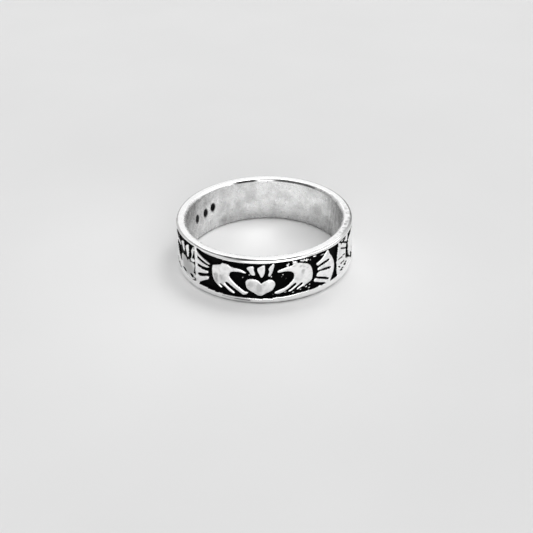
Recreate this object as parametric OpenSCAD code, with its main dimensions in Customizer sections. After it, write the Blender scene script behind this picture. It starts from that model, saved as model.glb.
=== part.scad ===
// Claddagh ring: a flat silver band in one piece, with a sunk panel round its outside
// and a raised pattern of crowned hearts held by two hands, each hand with a fan cuff.
// The patterned strip is bent round and closed by a soldered seam.
// The ring lies on its lower rim: Z is the finger axis, and the floor is at zero.
// Angles run from the front (minus Y) towards plus X.

/* [Band] */
// Inside diameter, where the finger goes
inner_d = 18.2; // [15:0.1:22]
// Thickness of the wall at the rims
wall = 1.2; // [0.9:0.05:2]
// Height of the band, along the finger
band_h = 5.6; // [4.5:0.1:8]
// Rounding of the outer edges of the rims
outer_round = 0.18; // [0.05:0.01:0.3]
// Rounding of the inner edges of the rims
inner_round = 0.26; // [0.05:0.01:0.35]

/* [Panel] */
// Height of the plain rim above the panel
top_rim_h = 0.4; // [0.3:0.05:0.9]
// Height of the plain rim below the panel
bottom_rim_h = 0.7; // [0.3:0.05:1]
// Depth of the panel's floor below the rims
recess = 0.35; // [0.15:0.05:0.6]
// How far the pattern's top lies below the rims
relief_drop = 0.03; // [0.01:0.01:0.1]

/* [Pattern] */
// Length of one repeat of the pattern, along the outside
repeat_len = 18.2; // [14:0.1:22]
// Straight steps in each span of a curved outline
curve_steps = 2; // [1:1:4]

/* [Seam] */
// Angle of the soldered seam from the front
seam_turn = -50; // [-180:1:180]
// Width of the strip of solder that closes the seam
seam_w = 0.4; // [0.2:0.05:0.8]

/* [Hidden] */

inner_r = inner_d / 2;
outer_r = inner_r + wall;
floor_r = outer_r - recess;
relief_r = outer_r - relief_drop;
panel_z = bottom_rim_h;
panel_h = band_h - bottom_rim_h - top_rim_h;
// Raised shapes start this far inside the panel's floor, and are cut off this far outside the rims
root = 0.2;
spare = 0.5;
around = 2 * PI * outer_r;
whole_repeats = floor(around / repeat_len);
left_over = around - whole_repeats * repeat_len;
// The wedge that cuts the last repeat starts this many degrees before it, and has this many steps
end_margin = 3;
end_steps = 8;
pool_sides = 16;
silver = "silver";

// Outlines of the pattern. Along is in hundredths of a repeat, up is in hundredths of the
// panel's height, and turn is 1 where the outline has a sharp corner.
heart = [
    // along, up, turn
    [46.7, 43.5, 1], [44.8, 51.5, 0], [42.5, 55.2, 0], [39.0, 55.4, 0], [37.2, 49.0, 0],
    [36.9, 38.0, 0], [38.0, 25.5, 0], [41.5, 16.0, 0], [46.0, 7.3, 0], [49.5, 14.0, 0],
    [53.6, 23.0, 0], [55.2, 33.0, 0], [55.9, 42.0, 0], [54.4, 51.5, 0], [52.3, 54.5, 0],
    [49.3, 51.0, 0],
];
crown_left = [
    [37.9, 84.5, 0], [39.3, 90.8, 0], [42.1, 91.5, 0], [42.6, 80.0, 0], [43.2, 68.0, 0],
    [42.1, 65.2, 0], [40.5, 67.8, 0], [39.3, 76.0, 0],
];
crown_middle = [
    [44.4, 84.0, 0], [46.0, 92.0, 0], [49.0, 97.0, 0], [49.4, 84.0, 0], [48.4, 65.0, 0],
    [46.9, 59.7, 0], [45.8, 66.0, 0],
];
crown_right = [
    [51.2, 84.0, 0], [52.6, 92.5, 0], [54.7, 99.5, 0], [54.7, 84.0, 0], [53.2, 69.5, 0],
    [51.9, 62.0, 0], [50.9, 65.5, 0], [51.6, 76.0, 0],
];
left_hand = [
    // wrist, third finger
    [14.9, 76.5, 1], [14.5, 60.0, 0], [14.8, 43.0, 0], [16.5, 28.0, 0], [20.6, 16.3, 0],
    [21.4, 19.5, 0], [19.7, 26.5, 0],
    // second finger
    [20.6, 28.8, 0], [24.0, 19.8, 0], [27.0, 10.8, 0], [29.5, 7.5, 0], [29.7, 12.0, 0],
    [26.0, 23.5, 0], [23.6, 34.0, 0],
    // first finger
    [24.8, 36.6, 0], [28.5, 27.0, 0], [32.5, 15.0, 0], [35.5, 7.8, 0], [38.5, 15.5, 0],
    [36.0, 19.0, 0], [32.5, 30.0, 0], [28.6, 43.5, 0],
    // palm and thumb
    [26.9, 57.0, 0], [28.2, 68.5, 0], [32.0, 72.0, 0], [37.4, 70.3, 0], [37.0, 74.6, 0],
    [33.5, 81.5, 0], [28.5, 84.3, 0], [25.0, 89.6, 0], [22.4, 90.0, 0], [20.8, 84.8, 0],
];
right_hand = [
    // wrist, third finger
    [79.0, 71.0, 0], [80.0, 53.0, 0], [79.2, 32.5, 0], [76.0, 25.5, 0], [72.0, 19.3, 0],
    [68.6, 15.6, 0], [69.0, 19.5, 0], [72.3, 28.0, 0],
    // second finger
    [71.8, 30.8, 0], [68.5, 22.0, 0], [66.0, 15.3, 0], [63.2, 14.2, 0], [64.8, 20.3, 0],
    [67.8, 30.0, 0],
    // first finger
    [67.6, 34.2, 0], [64.0, 24.0, 0], [60.5, 15.2, 0], [57.0, 11.0, 0], [54.6, 14.5, 0],
    [57.0, 22.0, 0], [61.5, 28.8, 0], [65.5, 42.5, 0],
    // palm and thumb
    [67.2, 57.0, 0], [65.6, 69.0, 0], [61.5, 72.9, 0], [56.9, 72.3, 0], [57.0, 77.8, 0],
    [61.0, 83.5, 0], [65.5, 87.5, 0], [69.0, 91.0, 0], [74.0, 86.0, 0], [77.5, 78.8, 0],
];
left_cuff = [
    // edge beside the seam, upper corner, first rib
    [1.2, -2.0, 1], [-0.1, 28.0, 0], [0.1, 60.0, 0], [1.2, 84.0, 0], [1.0, 102.0, 1], [3.2, 102.0, 1],
    [5.5, 92.0, 0], [9.6, 85.5, 0], [13.4, 77.0, 0], [12.4, 73.8, 0], [7.5, 77.6, 0],
    // second rib
    [2.4, 83.2, 0], [4.5, 77.2, 0], [9.0, 70.2, 0], [12.9, 68.8, 0], [11.4, 62.4, 0],
    [6.5, 61.8, 0],
    // third rib
    [1.8, 58.0, 0], [6.5, 52.5, 0], [11.0, 56.4, 0], [12.1, 51.0, 0], [10.8, 45.6, 0],
    [6.5, 41.4, 0],
    // fourth rib, lower corner
    [2.5, 31.5, 0], [7.0, 32.8, 0], [11.4, 40.4, 0], [12.7, 33.0, 0], [10.5, 25.3, 0],
    [5.0, 12.5, 0], [3.5, -2.0, 1],
];
right_cuff = [
    // outer arc
    [92.2, 102.0, 1], [95.0, 80.5, 0], [97.4, 60.0, 0], [97.8, 38.0, 0], [96.0, 17.5, 0],
    [93.6, -2.0, 1],
    // fourth rib
    [91.5, -2.0, 1], [86.0, 11.8, 0], [82.0, 20.0, 0], [80.2, 25.0, 0], [81.6, 35.2, 0],
    [83.4, 31.0, 0], [88.0, 21.3, 0],
    // third rib
    [92.9, 12.8, 0], [88.5, 25.5, 0], [84.4, 33.2, 0], [82.0, 38.5, 0], [83.0, 46.2, 0],
    [88.0, 46.6, 0],
    // second rib
    [93.9, 44.6, 0], [88.5, 50.8, 0], [83.4, 51.8, 0], [83.4, 59.0, 0], [87.5, 63.2, 0],
    // first rib
    [92.7, 69.0, 0], [87.5, 69.4, 0], [83.1, 66.2, 0], [82.0, 74.2, 0], [86.2, 83.0, 0],
    [89.5, 102.0, 1],
];
// Oval pools of solder that ran into the panel behind the seam, in the same hundredths
solder_pools = [
    // back from the seam, up, half length, half height
    [9.3, 5.5, 3.4, 9.5],
    [3.6, 59.0, 2.6, 6.5],
];
MOTIF = [left_cuff, left_hand, crown_left, crown_middle, crown_right, heart, right_hand, right_cuff];

function unit(d) = d / norm(d);

// Direction of a closed outline at point i: along its neighbours, or straight at a sharp corner
function heading(t, i, straight) =
    let (n = len(t), before = t[(i + n - 1) % n], after = t[(i + 1) % n])
    t[i][2] == 1 ? straight : unit([after[0] - before[0], after[1] - before[1]]);

// Point at share k of the curved span between a and b, which leaves along h0 and arrives along h1
function span_point(a, b, h0, h1, k) =
    let (l = norm(b - a))
    (2 * k * k * k - 3 * k * k + 1) * a + (k * k * k - 2 * k * k + k) * l * h0
    + (3 * k * k - 2 * k * k * k) * b + (k * k * k - k * k) * l * h1;

// A table in millimetres: along from the middle of the shape at mid, and up from the floor
function placed(t, mid) =
    [for (p = t) [(p[0] / 100 * repeat_len - mid), panel_z + p[1] / 100 * panel_h, p[2]]];

// The smooth outline through a placed table's points
function outline(t) = [
    for (i = [0 : len(t) - 1])
        let (
            n = len(t),
            j = (i + 1) % n,
            a = [t[i][0], t[i][1]],
            b = [t[j][0], t[j][1]],
            straight = unit(b - a)
        )
        for (k = [0 : curve_steps - 1])
            span_point(a, b, heading(t, i, straight), heading(t, j, straight), k / curve_steps)
];

// Start and middle of a table along the strip, in millimetres
function start(t) = min([for (p = t) p[0]]) / 100 * repeat_len;
function middle(t) = (start(t) + max([for (p = t) p[0]]) / 100 * repeat_len) / 2;

// Angle round the ring at a length along the strip, which starts at the seam
function turn_at(along) = seam_turn + along / outer_r * 180 / PI;

// Bends a flat outline's points onto the round wall, as seen straight from outside
function bent(points) = [for (p = points) [outer_r * sin(p[0] / outer_r * 180 / PI), p[1]]];

// A prism of an outline that stands out of the wall at an angle
module stud(points, angle) {
    rotate([0, 0, angle])
        translate([0, -(floor_r - root), 0])
            rotate([90, 0, 0])
                linear_extrude(height = recess + root + spare)
                    polygon(points);
}

// One shape of the pattern, in the repeat that starts at along
module shape(t, along) {
    mid = middle(t);
    stud(bent(outline(placed(t, mid))), turn_at(along + mid));
}

// One repeat of the pattern
module motif(along) {
    for (t = MOTIF)
        shape(t, along);
}

// The end of the strip: a wedge from just before the last repeat to the seam
module strip_end() {
    first = turn_at(whole_repeats * repeat_len) - end_margin;
    last = turn_at(around);
    linear_extrude(height = band_h)
        polygon(concat([[0, 0]], [
            for (k = [0 : end_steps])
                let (a = first + (last - first) * k / end_steps)
                2 * outer_r * [sin(a), -cos(a)]
        ]));
}

// The last repeat runs into the seam and is cut off there
module last_motif(along) {
    intersection() {
        strip_end();
        for (t = MOTIF)
            if (start(t) < left_over)
                shape(t, along);
    }
}

// Strip of solder across the seam, and the pools that ran from it
module solder() {
    half = seam_w / 2;
    top = panel_z + panel_h + root;
    stud(
        [[-half, panel_z - root], [half, panel_z - root], [half, top], [-half, top]],
        turn_at(half)
    );
    for (p = solder_pools)
        stud([
            for (a = [0 : 360 / pool_sides : 359])
                [
                    p[2] / 100 * repeat_len * cos(a),
                    panel_z + (p[1] + p[3] * sin(a)) / 100 * panel_h,
                ]
        ], turn_at(-p[0] / 100 * repeat_len));
}

// Half section of the band, from the inner wall to the rims, with the rounded edges
module section() {
    difference() {
        translate([inner_r, 0])
            square([wall, band_h]);
        translate([floor_r, panel_z])
            square([recess + spare, panel_h]);
        for (z = [0, 1]) {
            edge(inner_r, z, inner_round, 1);
            edge(outer_r, z, outer_round, -1);
        }
    }
}

// What rounding takes off one edge: r is its radius, top is 1 at the upper end, side is 1 inside
module edge(r, top, round_r, side) {
    translate([r, top * band_h])
        scale([side, 1 - 2 * top])
            difference() {
                translate([-spare, -spare])
                    square(round_r + spare);
                translate([round_r, round_r])
                    circle(r = round_r, $fn = 48);
            }
}

module band() {
    color(silver)
        union() {
            rotate_extrude($fn = 180)
                section();
            intersection() {
                difference() {
                    translate([0, 0, panel_z - root])
                        cylinder(r = relief_r, h = panel_h + 2 * root, $fn = 180);
                    translate([0, 0, -spare])
                        cylinder(r = floor_r - root, h = band_h + 2 * spare, $fn = 180);
                }
                union() {
                    for (i = [0 : whole_repeats - 1])
                        motif(i * repeat_len);
                    last_motif(whole_repeats * repeat_len);
                    solder();
                }
            }
        }
}

band();
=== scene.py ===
# %% [markdown]
# # A claddagh ring in blackened silver
# The real ring is a flat band of sterling silver, a little under 6 mm high. Its pattern was
# pressed or cast into a straight strip, the strip was bent round and soldered, and the low
# ground was blackened, so that the crowned hearts, the hands and the fan cuffs stand out
# bright. This lesson builds that band as one mesh, in metres, where the CAD model has it.

# %% The frame
import math
import random

import bmesh
import bpy
import numpy as np
from mathutils import Matrix, Vector, noise


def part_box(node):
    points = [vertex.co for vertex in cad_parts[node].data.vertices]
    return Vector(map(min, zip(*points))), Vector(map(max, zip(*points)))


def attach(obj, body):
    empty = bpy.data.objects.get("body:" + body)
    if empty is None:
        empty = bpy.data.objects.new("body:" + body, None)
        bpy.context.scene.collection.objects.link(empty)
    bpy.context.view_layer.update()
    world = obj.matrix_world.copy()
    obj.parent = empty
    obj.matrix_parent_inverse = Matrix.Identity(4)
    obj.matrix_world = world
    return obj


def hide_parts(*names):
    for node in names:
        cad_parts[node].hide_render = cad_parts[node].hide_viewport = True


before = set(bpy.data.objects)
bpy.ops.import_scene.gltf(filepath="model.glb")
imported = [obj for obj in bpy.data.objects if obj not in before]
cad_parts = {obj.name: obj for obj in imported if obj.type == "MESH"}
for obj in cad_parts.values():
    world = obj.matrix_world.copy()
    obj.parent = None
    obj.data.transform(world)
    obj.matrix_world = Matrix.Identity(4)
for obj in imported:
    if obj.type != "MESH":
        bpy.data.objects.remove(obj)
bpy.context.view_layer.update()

MM = 0.001
low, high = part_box("band")
print("band in mm:", [round(v / MM, 2) for v in (high - low)])

# %% [markdown]
# ## Sizes
# A ring maker thinks in the finger's diameter, the wall and the height of the band. The same
# few sizes lead here, in millimetres, and the box of the CAD band tells whether they agree.
# Only the upper rim's edges are rounder than in the CAD model, as fingers have worn them.

# %% Sizes in millimetres
inner_r = 9.1
wall = 1.2
outer_r = inner_r + wall
band_h = 5.6
around = 2 * math.pi * outer_r
# Rounding of the lower and of the upper edges
outer_round = 0.18
inner_round = 0.26
top_outer_round = 0.36
top_inner_round = 0.34
# Rims, and the sunk panel between them
bottom_rim_h = 0.7
top_rim_h = 0.4
panel_h = band_h - bottom_rim_h - top_rim_h
recess = 0.35
relief_drop = 0.03
# Repeats of the pattern, and the seam as an angle from the front
repeat_len = 18.2
whole_repeats = int(around / repeat_len)
seam_turn = math.radians(-50)
seam_w = 0.4
print("difference from the CAD width in mm:", round((high.x - low.x) / MM - 2 * outer_r, 4))

# %% [markdown]
# ## The pattern's outlines
# Eight flat shapes make one repeat: a fan cuff, a hand, three leaves of the crown, the heart,
# the other hand and the other cuff. Each is a table of points read off the flat strip: along
# in hundredths of a repeat, up in hundredths of the panel, and a 1 where the corner is sharp.
# A curve through few points keeps the line of a graver, and a corner can be moved by hand.

# %% Tables of the eight shapes
heart = [
    # along, up, and 1 at a sharp corner
    (46.7, 43.5, 1), (44.8, 51.5), (42.5, 55.2), (39, 55.4), (37.2, 49), (36.9, 38), (38, 25.5),
    (41.5, 16), (46, 7.3), (49.5, 14), (53.4, 23), (54.9, 31.5), (55.4, 40.5), (54.2, 50.2),
    (52, 53.6), (49.3, 51),
]
crown_left = [
    (37.9, 84.5), (39.3, 90.8), (42.1, 91.5), (42.6, 80), (43.2, 68), (42.1, 65.2), (40.5, 67.8),
    (39.3, 76),
]
crown_middle = [
    (44.4, 84), (46, 91), (48.9, 95), (49.4, 84), (48.4, 65), (46.9, 59.7), (45.8, 66),
]
crown_right = [
    (51.2, 84), (52.6, 92.5), (54.7, 99.5), (54.7, 84), (53.2, 69.5), (51.9, 62), (50.9, 65.5),
    (51.6, 76),
]
left_hand = [
    # wrist, third finger
    (14.9, 76.5, 1), (14.5, 60), (14.8, 43), (16.5, 28), (20.6, 16.3), (21.4, 19.5), (19.7, 26.5),
    # second finger
    (20.6, 28.8), (24, 19.8), (27, 10.8), (29.5, 7.5), (29.7, 12), (26, 23.5), (23.6, 34),
    # first finger
    (24.8, 36.6), (28.5, 27), (32.5, 15), (35.5, 7.8), (38.5, 15.5), (36, 19), (32.5, 30),
    (28.6, 43.5),
    # palm and thumb
    (26.9, 57), (28.2, 68.5), (32, 72), (37.4, 70.3), (37, 74.6), (33.5, 81.5), (28.5, 84.3),
    (25, 89.6), (22.4, 90), (20.8, 84.8),
]
right_hand = [
    # wrist, third finger
    (79, 71), (80, 53), (79.2, 32.5), (76, 25.5), (72, 19.3), (68.9, 14.8), (69.3, 19),
    (72.8, 28.4),
    # second finger
    (71.9, 31.6), (68.3, 22.8), (65.8, 15.5), (63.2, 14), (64.8, 20), (68.3, 30.6),
    # first finger
    (67.9, 35), (64, 24), (60.5, 15.2), (57, 11), (54.6, 14.5), (57, 22), (61.5, 28.8),
    (65.5, 42.5),
    # palm and thumb
    (67.2, 57), (65.6, 69), (61.5, 72.9), (56.9, 72.3), (57, 77.8), (61, 83.5), (65.5, 87.5),
    (69, 91), (74, 86), (77.5, 78.8),
]
left_cuff = [
    # edge beside the seam, upper corner, first rib
    (1.2, -2, 1), (-0.1, 28), (0.1, 60), (1.2, 84), (0.8, 104, 1), (2.1, 104, 1), (2.3, 95.5),
    (5, 90.3), (8.8, 83), (12, 78), (13.2, 75), (12.3, 72.6),
    # second rib
    (9.9, 74.2), (6.1, 78.6), (2.8, 84), (1.5, 82.3), (2.4, 77.2), (6.1, 71.6), (9.9, 68.4),
    (12, 66.8), (12.1, 64.4),
    # third rib
    (9.9, 60.9), (6.1, 60), (2.8, 60.8), (1.5, 57), (2.8, 53.4), (6.1, 51.6), (8.5, 51.4),
    (10.6, 53), (11.3, 49.8), (11.1, 46),
    # fourth rib, lower corner
    (9.4, 43), (6.1, 39.2), (2.8, 34.8), (2, 30.6), (3.1, 27.8), (6.1, 30.4), (9.4, 35.5), (11, 37),
    (11.7, 33.8), (11.2, 29), (9.9, 25), (7.7, 19.8), (5, 13.2), (3.4, 7.6), (3.1, -2, 1),
]
right_cuff = [
    # outer arc
    (92.3, 98.5), (93.8, 86), (96, 72.5), (97.7, 57), (98.1, 43.5), (97.7, 30), (96.3, 17),
    (94.6, 5), (93.9, -2, 1),
    # fourth rib
    (91.5, -2, 1), (90, 5.5), (86.7, 12.4), (83.4, 18), (81.3, 22), (80.9, 26.5), (82.1, 31.6),
    (85.6, 25), (88.9, 18.8), (92.2, 12.2),
    # third rib
    (93.1, 13), (92.4, 16.2), (90, 22.8), (86.7, 28.6), (83.1, 35), (82.9, 39), (83.4, 44),
    (85.2, 46.2), (88.5, 45), (92.6, 42.1),
    # second rib
    (95, 43.4), (93.6, 46.6), (89.5, 50.4), (86, 51), (83.9, 52), (83.5, 55.5), (84.6, 60),
    (87, 61.8), (90, 63.6), (92.8, 65.8),
    # first rib
    (93.6, 68.9), (92.4, 71.2), (89.5, 69.9), (86.5, 68.3), (84, 65.4), (82.9, 69), (82.6, 73.2),
    (86, 79.8), (88.6, 86), (90.6, 95),
]
filled_cuff = [
    # the second repeat's cuff, where the mould was filled: no ribs, only scratches
    (2.3, -4, 1), (1, 22), (1, 38), (1.4, 60), (2.3, 84), (2.4, 104, 1), (15.6, 104, 1), (16, 90),
    (13.6, 71), (12.8, 50), (13.2, 34), (17.5, 26), (21, 18), (25, 9), (28, -4, 1),
]
motif = [left_cuff, left_hand, crown_left, crown_middle, crown_right, heart, right_hand, right_cuff]
print("shapes in a repeat:", len(motif), "points:", sum(len(shape) for shape in motif))

# %% [markdown]
# ## A smooth line through the points
# Between two points runs a cubic curve that leaves and arrives along the line's own direction.
# The direction at a point is that of its two neighbours, and at a sharp corner it is straight.
# The second repeat was struck a little further on, and its first cuff is the filled one.

# %% Smooth outlines in millimetres
second_shift = 0.52


def on_strip(along, up):
    """Hundredths of a repeat and of the panel, as millimetres along and up the strip."""
    return np.array([along / 100 * repeat_len, bottom_rim_h + up / 100 * panel_h])


def smooth_outline(table, steps=6):
    """Closed line through a table's points, with so many steps from each point to the next."""
    spots = [on_strip(*point[:2]) for point in table]
    sharp = [len(point) == 3 for point in table]
    line = []
    for i, here in enumerate(spots):
        j = (i + 1) % len(spots)
        before, after, beyond = spots[i - 1], spots[j], spots[(i + 2) % len(spots)]
        chord = after - here
        length = np.linalg.norm(chord)
        leave = chord if sharp[i] else after - before
        arrive = chord if sharp[j] else beyond - here
        leave = leave / np.linalg.norm(leave) * length
        arrive = arrive / np.linalg.norm(arrive) * length
        for k in np.arange(steps) / steps:
            line.append((2 * k**3 - 3 * k**2 + 1) * here + (k**3 - 2 * k**2 + k) * leave
                        + (3 * k**2 - 2 * k**3) * after + (k**3 - k**2) * arrive)
    return np.array(line)


outlines = [smooth_outline(shape) for shape in motif]
second_outlines = [smooth_outline(filled_cuff)]
second_outlines += [line + np.array([second_shift, 0]) for line in outlines[1:]]
heart_outline = outlines[motif.index(heart)]
print("outline of one repeat in mm:", round(sum(
    np.linalg.norm(np.roll(line, -1, 0) - line, axis=1).sum() for line in outlines), 1))

# %% [markdown]
# ## How far is a spot from the nearest outline?
# The relief is made the way a die does it: each spot of the wall is pressed in or left standing
# by its distance from the outlines. The distance is positive inside a shape and negative out in
# the sunk ground, and the repeats follow each other round the band until the seam cuts the last.
# The crown of that last repeat reaches higher than the others, and its leaves are thinner.

# %% Distance from the outlines
crown_foot = on_strip(0, 60)[1]
# The last crown is looked up at a height squeezed by this, which makes it taller
last_crown_squeeze = 0.88
# Its leaves lose this much at each side, over this height above the foot
last_crown_trim = 0.07
trimmed_over = 0.4


def inside_distance(spots, line):
    """Distance of flat spots from a closed line in mm, positive inside it."""
    after = np.roll(line, -1, 0)
    edge = after - line
    gap = spots[:, None, :] - line
    share = np.clip((gap * edge).sum(2) / (edge**2).sum(1), 0, 1)
    near = np.linalg.norm(gap - share[..., None] * edge, axis=2).min(1)
    above, above_after = line[:, 1] > spots[:, 1:], after[:, 1] > spots[:, 1:]
    with np.errstate(divide="ignore", invalid="ignore"):
        crossing = line[:, 0] + edge[:, 0] * (spots[:, 1:] - line[:, 1]) / edge[:, 1]
        crossed = (above != above_after) & (spots[:, :1] < crossing)
    return np.where(crossed.sum(1) % 2 == 1, near, -near)


def pattern_distance(along, up, only=None, reach=0.6):
    """The same for the whole pattern round the band, along counted from the seam."""
    best = np.full(len(along), -reach)
    for k in range(whole_repeats + 1):
        last = k == whole_repeats
        x, z = along - k * repeat_len, up
        if last:
            z = np.where(up > crown_foot, crown_foot + (up - crown_foot) * last_crown_squeeze, up)
        for line in only or (second_outlines if k == 1 else outlines):
            (x0, z0), (x1, z1) = line.min(0) - reach, line.max(0) + reach
            close = (x > x0) & (x < x1) & (z > z0) & (z < z1)
            if last:
                close &= x > -reach
            if close.any():
                found = inside_distance(np.column_stack([x[close], z[close]]), line)
                if last:
                    found -= last_crown_trim * np.clip((up[close] - crown_foot) / trimmed_over, 0, 1)
                best[close] = np.maximum(best[close], found)
    return best


def strip_place(points):
    """Millimetres along from the seam and up from the floor, for points in metres."""
    turn = np.arctan2(points[:, 0], -points[:, 1]) - seam_turn
    return np.mod(turn, 2 * math.pi) * outer_r, points[:, 2] / MM


print("foot of the crown at a height of", round(float(crown_foot), 2), "mm")

# %% [markdown]
# ## The plain band
# A ring blank is one cross-section carried round the finger. A rectangle gets its four corners
# rounded by a bevel and its long sides cut into rows, and then spins once round the upright
# axis. On the outside the rows and steps are as wide as they are high, so that the pattern can
# be pressed evenly.

# %% Cross-section and spin
# Step round the band and height of a row on its outside, in mm
cell = 0.19
# Cuts across the inner wall and across the flat top
inner_cuts = 9
top_cuts = 3
# Points closer than this, in metres, lie in the same place
same_place = 1e-7
ACROSS, UPRIGHT = 0, 2
corners = [
    # radius, height, rounding in mm, steps of the rounding
    (inner_r, 0, inner_round, 4), (outer_r, 0, outer_round, 4),
    (inner_r, band_h, top_inner_round, 6), (outer_r, band_h, top_outer_round, 6),
]


def corner(bm, r, z):
    """The point of the section nearest to a radius and a height in mm."""
    return min(bm.verts, key=lambda v: (v.co - Vector((r, 0, z)) * MM).length)


def cut_side(bm, axis, place, cuts):
    """Cuts the longest edge of the section that lies at a place in mm on an axis."""
    on_side = [e for e in bm.edges if all(abs(v.co[axis] - place * MM) < same_place for v in e.verts)]
    side = max(on_side, key=lambda e: e.calc_length())
    bmesh.ops.subdivide_edges(bm, edges=[side], cuts=cuts)


bm = bmesh.new()
upright = Matrix.Rotation(math.pi / 2, 4, "X")
bmesh.ops.create_grid(bm, x_segments=1, y_segments=1, size=0.5, matrix=upright)
bmesh.ops.scale(bm, verts=bm.verts, vec=(wall * MM, 1, band_h * MM))
bmesh.ops.translate(bm, verts=bm.verts, vec=((inner_r + outer_r) / 2 * MM, 0, band_h / 2 * MM))
for r, z, rounding, steps in corners:
    bmesh.ops.bevel(bm, geom=[corner(bm, r, z)], offset=rounding * MM, offset_type="OFFSET",
                    segments=steps, profile=0.5, affect="VERTICES", material=-1)
cut_side(bm, ACROSS, outer_r, round((band_h - outer_round - top_outer_round) / cell) - 1)
cut_side(bm, ACROSS, inner_r, inner_cuts)
cut_side(bm, UPRIGHT, band_h, top_cuts)
bmesh.ops.delete(bm, geom=bm.faces[:], context="FACES_ONLY")
section_points = len(bm.verts)
bmesh.ops.spin(bm, geom=bm.verts[:] + bm.edges[:], cent=(0, 0, 0), axis=(0, 0, 1), dvec=(0, 0, 0),
               angle=2 * math.pi, steps=round(around / cell), use_merge=True, use_duplicate=False)
bmesh.ops.remove_doubles(bm, verts=bm.verts, dist=same_place)
bmesh.ops.recalc_face_normals(bm, faces=bm.faces)
print("points in the section:", section_points, "faces of the blank:", len(bm.faces))

# %% [markdown]
# ## Two soft brushes
# Every mark on the band is a soft oval or a soft line at a place on the strip. Two functions
# give 1 in its middle and 0 from its edge on, so one table row is enough for a mark, whether it
# lifts the metal, dents it or darkens it.

# %% Oval and line on the strip
# An oval is full up to this share of its half width
oval_core = 0.45


def ramp(x, x0, x1):
    """Smooth step from 0 at x0 to 1 at x1."""
    t = np.clip((x - x0) / (x1 - x0), 0, 1)
    return t * t * (3 - 2 * t)


def oval(x, z, along, up, half_long, half_high, tilt=0, repeat=0):
    """1 in the core of a soft oval on the strip, and 0 from its edge on."""
    middle = on_strip(along + 100 * repeat, up)
    c, s = math.cos(math.radians(tilt)), math.sin(math.radians(tilt))
    dx, dz = x - middle[0], z - middle[1]
    away = np.hypot((dx * c + dz * s) / half_long, (dz * c - dx * s) / half_high)
    return 1 - ramp(away, oval_core, 1)


def groove(x, z, start, end, half_wide, repeat=0):
    """1 along a line between two places on the strip, and 0 from its sides on."""
    a, b = on_strip(start[0] + 100 * repeat, start[1]), on_strip(end[0] + 100 * repeat, end[1])
    run = b - a
    share = np.clip(((x - a[0]) * run[0] + (z - a[1]) * run[1]) / (run**2).sum(), 0, 1)
    away = np.hypot(x - a[0] - share * run[0], z - a[1] - share * run[1])
    return 1 - ramp(away / half_wide, 0, 1)


print("strength of an oval at 0.7 of its half width:", round(float(1 - ramp(0.7, oval_core, 1)), 2))

# %% [markdown]
# ## Specks, dents, scratches and the soldered seam
# Close up, the band is far from clean. Crumbs of silver stand in the black ground where the mould
# was pitted, the palms carry a few soft dents, and the second cuff's mould was filled, so only
# scratches are left of its ribs. Solder has run over the ground beside the seam and left pits and
# a crack. Tables hold them, because their places follow the real ring and no rule does.

# %% Tables of the marks
crumbly = [
    # along, up, half length, half height in mm, tilt
    (66, 93.5, 0.75, 0.36, 8), (74.5, 94, 0.8, 0.34, -12), (63, 89, 0.4, 0.25, 20),
]
specks = [
    # along, up, half length, half height in mm, tilt, rise
    (68, 92, 0.42, 0.3, 0, 1), (72.6, 93.3, 0.32, 0.1, -8, 0.9), (75.8, 90.5, 0.18, 0.2, -45, 0.9),
    (62.8, 90, 0.16, 0.14, 0, 0.55), (63.6, 86.5, 0.26, 0.1, 30, 0.55), (81.8, 94, 0.34, 0.08, -5, 0.8),
    (78.5, 88, 0.12, 0.12, 0, 0.6), (88, 89.5, 0.42, 0.11, 0, 0.55),
    (60.3, 63, 0.14, 0.12, 0, 0.55), (59.5, 57, 0.1, 0.1, 0, 0.5), (62, 51, 0.12, 0.11, 0, 0.55),
    (39.5, 65, 0.12, 0.12, 0, 0.55), (53, 60, 0.13, 0.2, 0, 0.55), (35.2, 56, 0.12, 0.11, 0, 0.52),
    (22.5, 96, 0.17, 0.09, 0, 0.55), (41, 98, 0.1, 0.12, 0, 0.55), (52, 98, 0.14, 0.1, 0, 0.6),
    (53.8, 8, 0.1, 0.09, 0, 0.55), (77.6, 8.6, 0.26, 0.08, 15, 0.57), (30.5, 27, 0.1, 0.3, -50, 0.5),
    (74.1, 18.9, 0.18, 0.09, 20, 0.62), (78, 18.2, 0.16, 0.08, 10, 0.6), (75.6, 14.5, 0.22, 0.1, 30, 0.55),
    (57.5, 9.5, 0.35, 0.08, -5, 0.52), (61.5, 12, 0.3, 0.07, 10, 0.55), (71.5, 10.5, 0.24, 0.08, 15, 0.52),
    (66.5, 6.5, 0.26, 0.07, 10, 0.5),
]
dents = [
    # from, to, half width in mm, depth in mm
    ((16.5, 48), (18, 33), 0.12, 0.07), ((21, 52), (22.5, 40), 0.22, 0.03),
    ((72.6, 65), (73.4, 65), 0.15, 0.07), ((73, 78), (76, 72), 0.11, 0.07),
    ((66, 84), (70, 84.5), 0.1, 0.05), ((51.6, 56), (51.7, 49), 0.09, 0.14),
]
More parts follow.
